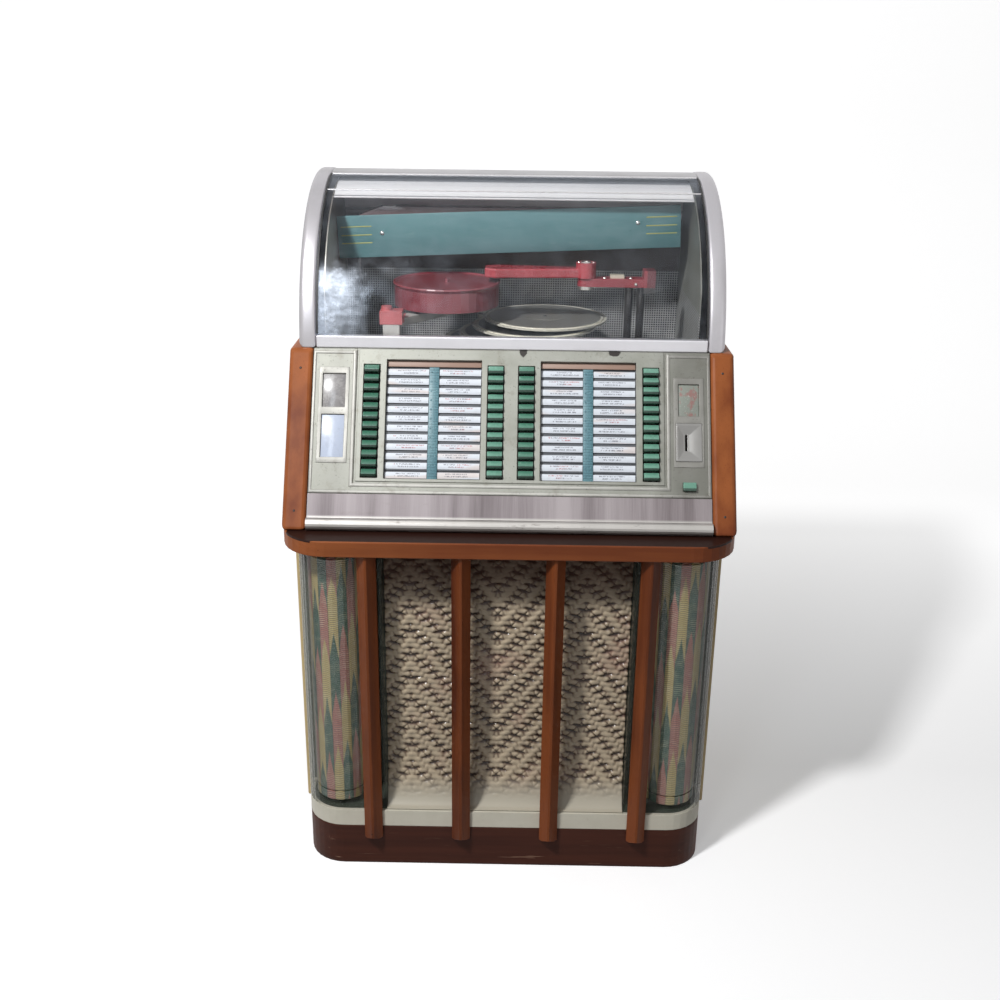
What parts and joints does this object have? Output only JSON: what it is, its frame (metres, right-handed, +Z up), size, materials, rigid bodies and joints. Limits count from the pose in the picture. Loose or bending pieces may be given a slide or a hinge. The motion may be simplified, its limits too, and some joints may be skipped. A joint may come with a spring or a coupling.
{
  "type": "jukebox",
  "caption": "Floor-standing jukebox: domed glass lid over a record mechanism, sloping selector panel with keys and coin slot, wood cheeks and fins, moulded grille and lit corner pilasters.",
  "frame": {"origin": "on the floor, under the middle of the whole cabinet", "axes": "+Z up, the front faces -Y, +X to the right of a viewer who stands in front"},
  "size_m": [0.9, 0.68, 1.4103],
  "materials": {
    "varnished_wood": "clear varnish",
    "dark_wood": "satin",
    "plain_board": "matt",
    "cream_panel": "satin paint",
    "cream_metal": "satin",
    "satin_aluminium": "satin",
    "cast_grey": "satin, aged",
    "brushed_steel": "brushed",
    "clear_plastic": "clear",
    "clear_glass": "clear",
    "grille_cream": "satin",
    "colour_film": "striped, translucent",
    "key_green": "polished",
    "title_card": "matt",
    "header_teal": "satin",
    "mechanism_red": "gloss",
    "dark_steel": "matt",
    "grey_paint": "satin"
  },
  "bodies": {
    "cabinet": {"plinth": "dark_wood", "trim_band": "cream_metal", "cabinet_case": "plain_board", "side_panel_left": "cream_panel", "side_panel_right": "cream_panel", "baffle_board": "plain_board", "speaker": "dark_steel", "amplifier": "grey_paint", "cash_box": "grey_paint", "grille_panel": "grille_cream", "fin_1": "varnished_wood", "fin_2": "varnished_wood", "fin_3": "varnished_wood", "fin_4": "varnished_wood", "pilaster_cover_left": "clear_plastic", "pilaster_cover_right": "clear_plastic", "ledge_moulding": "varnished_wood", "cheek_left": "varnished_wood", "cheek_right": "varnished_wood", "upper_back": "plain_board", "selector_panel": "cast_grey", "apron": "brushed_steel", "title_rack_left": "title_card", "title_rack_right": "title_card", "key_frame": "key_green", "coin_entry": "satin_aluminium", "header_board": "header_teal", "inner_hood": "satin_aluminium", "inner_screen": "dark_steel", "mechanism_base": "dark_steel", "turntable_carrier": "grey_paint", "tonearm_support": "mechanism_red", "tray_post": "brushed_steel"},
    "lid": {"dome_casting_left": "satin_aluminium", "dome_casting_right": "satin_aluminium", "dome_glass": "clear_glass", "dome_rail": "satin_aluminium", "dome_rear": "satin_aluminium"},
    "tray_1_body": {"tray_1": "satin_aluminium"},
    "tray_2_body": {"tray_2": "satin_aluminium"},
    "tray_3_body": {"tray_3": "satin_aluminium"},
    "tray_4_body": {"tray_4": "satin_aluminium"},
    "key_01_body": {"key_01": "key_green"},
    "key_02_body": {"key_02": "key_green"},
    "key_03_body": {"key_03": "key_green"},
    "key_04_body": {"key_04": "key_green"},
    "key_05_body": {"key_05": "key_green"},
    "key_06_body": {"key_06": "key_green"},
    "key_07_body": {"key_07": "key_green"},
    "key_08_body": {"key_08": "key_green"},
    "key_09_body": {"key_09": "key_green"},
    "key_10_body": {"key_10": "key_green"},
    "key_11_body": {"key_11": "key_green"},
    "key_12_body": {"key_12": "key_green"},
    "reject_button": {"reject_button": "key_green"},
    "rear_door": {"rear_door": "plain_board"},
    "turntable": {"turntable": "mechanism_red"},
    "tonearm": {"tonearm": "mechanism_red"},
    "colour_cylinder_left": {"colour_cylinder_left": "colour_film"},
    "colour_cylinder_right": {"colour_cylinder_right": "colour_film"}
  },
  "joints": [
    {"name": "lid_hinge", "type": "hinge", "parent": "cabinet", "child": "lid", "pos_m": [0, 0.336, 1.0874], "axis": [-1, 0, 0], "range_deg": [0, 60]},
    {"name": "rear_door_hinge", "type": "hinge", "parent": "cabinet", "child": "rear_door", "pos_m": [0.414, 0.332, 0.4325], "axis": [0, 0, -1], "range_deg": [0, 90]},
    {"name": "turntable_spin", "type": "hinge", "parent": "cabinet", "child": "turntable", "pos_m": [-0.14107, 0.09187, 1.17], "axis": [0, 0, 1], "continuous": true},
    {"name": "tonearm_swing", "type": "hinge", "parent": "cabinet", "child": "tonearm", "pos_m": [0.156, 0.1, 1.2041], "axis": [0, 0, 1], "range_deg": [-5, 25]},
    {"name": "colour_cylinder_left_spin", "type": "hinge", "parent": "cabinet", "child": "colour_cylinder_left", "pos_m": [-0.353, -0.237, 0.43], "axis": [0, 0, 1], "continuous": true},
    {"name": "colour_cylinder_right_spin", "type": "hinge", "parent": "cabinet", "child": "colour_cylinder_right", "pos_m": [0.353, -0.237, 0.43], "axis": [0, 0, 1], "continuous": true},
    {"name": "tray_1_swing", "type": "hinge", "parent": "cabinet", "child": "tray_1_body", "pos_m": [-0.065, 0.255, 1.11], "axis": [0, 0, 1], "range_deg": [-75, 0]},
    {"name": "tray_2_swing", "type": "hinge", "parent": "cabinet", "child": "tray_2_body", "pos_m": [-0.065, 0.255, 1.098], "axis": [0, 0, 1], "range_deg": [-64, 11]},
    {"name": "tray_3_swing", "type": "hinge", "parent": "cabinet", "child": "tray_3_body", "pos_m": [-0.065, 0.255, 1.086], "axis": [0, 0, 1], "range_deg": [-53, 22]},
    {"name": "tray_4_swing", "type": "hinge", "parent": "cabinet", "child": "tray_4_body", "pos_m": [-0.065, 0.255, 1.074], "axis": [0, 0, 1], "range_deg": [-42, 33]},
    {"name": "key_01_press", "type": "slide", "parent": "cabinet", "child": "key_01_body", "axis": [0, 0.8608, -0.509], "range_m": [0, 0.004], "stiffness_N_per_m": 150, "springref_m": -0.004},
    {"name": "key_02_press", "type": "slide", "parent": "cabinet", "child": "key_02_body", "axis": [0, 0.8608, -0.509], "range_m": [0, 0.004], "stiffness_N_per_m": 150, "springref_m": -0.004},
    {"name": "key_03_press", "type": "slide", "parent": "cabinet", "child": "key_03_body", "axis": [0, 0.8608, -0.509], "range_m": [0, 0.004], "stiffness_N_per_m": 150, "springref_m": -0.004},
    {"name": "key_04_press", "type": "slide", "parent": "cabinet", "child": "key_04_body", "axis": [0, 0.8608, -0.509], "range_m": [0, 0.004], "stiffness_N_per_m": 150, "springref_m": -0.004},
    {"name": "key_05_press", "type": "slide", "parent": "cabinet", "child": "key_05_body", "axis": [0, 0.8608, -0.509], "range_m": [0, 0.004], "stiffness_N_per_m": 150, "springref_m": -0.004},
    {"name": "key_06_press", "type": "slide", "parent": "cabinet", "child": "key_06_body", "axis": [0, 0.8608, -0.509], "range_m": [0, 0.004], "stiffness_N_per_m": 150, "springref_m": -0.004},
    {"name": "key_07_press", "type": "slide", "parent": "cabinet", "child": "key_07_body", "axis": [0, 0.8608, -0.509], "range_m": [0, 0.004], "stiffness_N_per_m": 150, "springref_m": -0.004},
    {"name": "key_08_press", "type": "slide", "parent": "cabinet", "child": "key_08_body", "axis": [0, 0.8608, -0.509], "range_m": [0, 0.004], "stiffness_N_per_m": 150, "springref_m": -0.004},
    {"name": "key_09_press", "type": "slide", "parent": "cabinet", "child": "key_09_body", "axis": [0, 0.8608, -0.509], "range_m": [0, 0.004], "stiffness_N_per_m": 150, "springref_m": -0.004},
    {"name": "key_10_press", "type": "slide", "parent": "cabinet", "child": "key_10_body", "axis": [0, 0.8608, -0.509], "range_m": [0, 0.004], "stiffness_N_per_m": 150, "springref_m": -0.004},
    {"name": "key_11_press", "type": "slide", "parent": "cabinet", "child": "key_11_body", "axis": [0, 0.8608, -0.509], "range_m": [0, 0.004], "stiffness_N_per_m": 150, "springref_m": -0.004},
    {"name": "key_12_press", "type": "slide", "parent": "cabinet", "child": "key_12_body", "axis": [0, 0.8608, -0.509], "range_m": [0, 0.004], "stiffness_N_per_m": 150, "springref_m": -0.004},
    {"name": "reject_press", "type": "slide", "parent": "cabinet", "child": "reject_button", "axis": [0, 0.8608, -0.509], "range_m": [0, 0.004], "stiffness_N_per_m": 150, "springref_m": -0.004}
  ]
}
